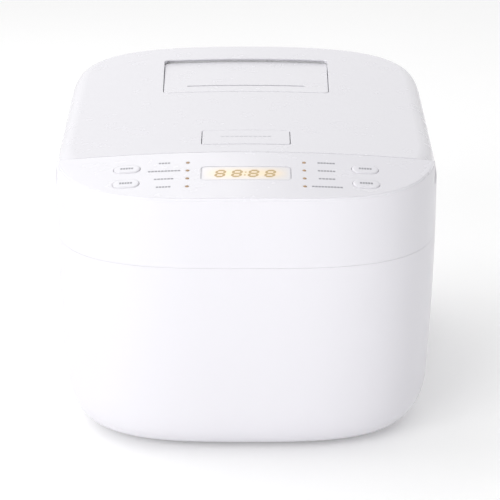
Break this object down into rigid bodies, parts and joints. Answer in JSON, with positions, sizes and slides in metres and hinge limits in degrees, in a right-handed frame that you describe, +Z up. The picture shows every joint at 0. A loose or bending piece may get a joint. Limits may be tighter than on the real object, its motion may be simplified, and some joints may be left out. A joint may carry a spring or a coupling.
{
  "type": "rice cooker",
  "caption": "Electric rice cooker: rounded white casing, hinged lid with release button and lift-off steam vent, sloping key panel with display, lift-out inner pot.",
  "frame": {"origin": "on the ground under the middle of the casing", "axes": "+Z up, front faces -Y, +X to the right when facing the front; +Y runs front to back, the longest side"},
  "size_m": [0.28, 0.35, 0.214],
  "materials": {
    "white_gloss": "gloss moulded, cool white",
    "white_casing": "satin moulded, cool white",
    "display_lens": "translucent white, glowing digits behind",
    "led_amber": "lit amber light pipes",
    "pale_plastic": "moulded",
    "rubber_grey": "moulded",
    "silicone": "translucent silicone",
    "screw_steel": "zinc plated",
    "liner_steel": "aluminised sheet",
    "cast_alu": "cast and turned",
    "element_steel": "heat-darkened",
    "sensor_alu": "spun",
    "sensor_body": "moulded",
    "heater_foil": "foil over heater wire",
    "fuse_sleeve": "woven glass sleeve",
    "circuit_board": "green solder mask",
    "dark_plastic": "moulded",
    "transformer_iron": "laminated core, copper winding",
    "capacitor_can": "sleeved can",
    "brass_pins": "plain",
    "wire_sleeve": "insulated",
    "zinc_steel": "zinc plated",
    "spring_steel": "drawn wire",
    "nonstick": "non-stick coated aluminium"
  },
  "bodies": {
    "base": {"lower_shell": "white_casing", "upper_shell": "white_casing", "base_cover": "pale_plastic", "rubber_feet": "rubber_grey", "base_screws": "screw_steel", "well_liner": "liner_steel", "liner_screws": "screw_steel", "heating_plate": "cast_alu", "heater_element": "element_steel", "sensor_housing": "sensor_body", "thermal_fuse": "fuse_sleeve", "side_heater_band": "heater_foil", "power_board": "circuit_board", "relay": "dark_plastic", "transformer": "transformer_iron", "filter_capacitor": "capacitor_can", "terminal_block": "pale_plastic", "power_inlet": "dark_plastic", "inlet_pins": "brass_pins", "mains_wires": "wire_sleeve", "panel_frame": "pale_plastic", "control_panel": "white_gloss", "control_board": "circuit_board", "display_module": "dark_plastic", "display_window": "display_lens", "indicator_leds": "led_amber", "tact_switches": "dark_plastic", "hinge_brackets": "zinc_steel", "hinge_pins": "zinc_steel", "hinge_screws": "screw_steel", "lid_springs": "spring_steel", "catch_plate": "zinc_steel"},
    "sensor": {"sensor_cap": "sensor_alu", "sensor_spring": "spring_steel"},
    "menu_key": {"menu_key": "white_gloss"},
    "timer_key": {"timer_key": "white_gloss"},
    "start_key": {"start_key": "white_gloss"},
    "warm_key": {"warm_key": "white_gloss"},
    "pot": {"inner_pot": "nonstick"},
    "lid": {"lid_cover": "white_gloss", "lid_inner_shell": "pale_plastic", "lid_screws": "screw_steel", "lid_plate": "cast_alu", "lid_heater": "heater_foil", "lid_sensor": "element_steel", "inner_lid": "cast_alu", "inner_lid_stud": "silicone", "sealing_ring": "silicone", "vent_well": "pale_plastic", "vent_grommet": "silicone", "latch_pin": "zinc_steel", "latch_spring": "spring_steel"},
    "release_button": {"release_button": "white_gloss"},
    "latch": {"latch_hook": "dark_plastic"},
    "vent": {"vent_cover": "white_gloss", "vent_cup": "pale_plastic", "vent_seal": "silicone"}
  },
  "joints": [
    {"name": "lid_hinge", "type": "hinge", "parent": "base", "child": "lid", "pos_m": [0, 0.157, 0.198], "axis": [-1, 0, 0], "range_deg": [0, 85]},
    {"name": "release_press", "type": "hinge", "parent": "lid", "child": "release_button", "pos_m": [0, -0.062, 0.206], "axis": [1, 0, 0], "range_deg": [0, 5], "stiffness_Nm_per_rad": 0.35},
    {"name": "latch_turn", "type": "hinge", "parent": "lid", "child": "latch", "pos_m": [0, -0.101, 0.203], "axis": [-1, 0, 0], "range_deg": [0, 8]},
    {"name": "vent_lift", "type": "slide", "parent": "lid", "child": "vent", "axis": [0, 0, 1], "range_m": [0, 0.08]},
    {"name": "pot_turn", "type": "hinge", "parent": "base", "child": "pot", "pos_m": [0, 0.02, 0.1], "axis": [0, 0, 1], "continuous": true},
    {"name": "sensor_travel", "type": "slide", "parent": "base", "child": "sensor", "axis": [0, 0, -1], "range_m": [0, 0.003], "stiffness_N_per_m": 400, "springref_m": -0.002, "deforming": ["sensor_spring"]},
    {"name": "menu_key_press", "type": "slide", "parent": "base", "child": "menu_key", "axis": [0.0603, 0.1905, -0.9798], "range_m": [0, 0.0007], "stiffness_N_per_m": 500, "springref_m": -0.0004},
    {"name": "timer_key_press", "type": "slide", "parent": "base", "child": "timer_key", "axis": [0.0603, 0.1905, -0.9798], "range_m": [0, 0.0007], "stiffness_N_per_m": 500, "springref_m": -0.0004},
    {"name": "start_key_press", "type": "slide", "parent": "base", "child": "start_key", "axis": [-0.0603, 0.1905, -0.9798], "range_m": [0, 0.0007], "stiffness_N_per_m": 500, "springref_m": -0.0004},
    {"name": "warm_key_press", "type": "slide", "parent": "base", "child": "warm_key", "axis": [-0.0603, 0.1905, -0.9798], "range_m": [0, 0.0007], "stiffness_N_per_m": 500, "springref_m": -0.0004}
  ],
  "couplings": [
    {"joint": "latch_turn", "follows": "release_press", "ratio": 1.6}
  ]
}
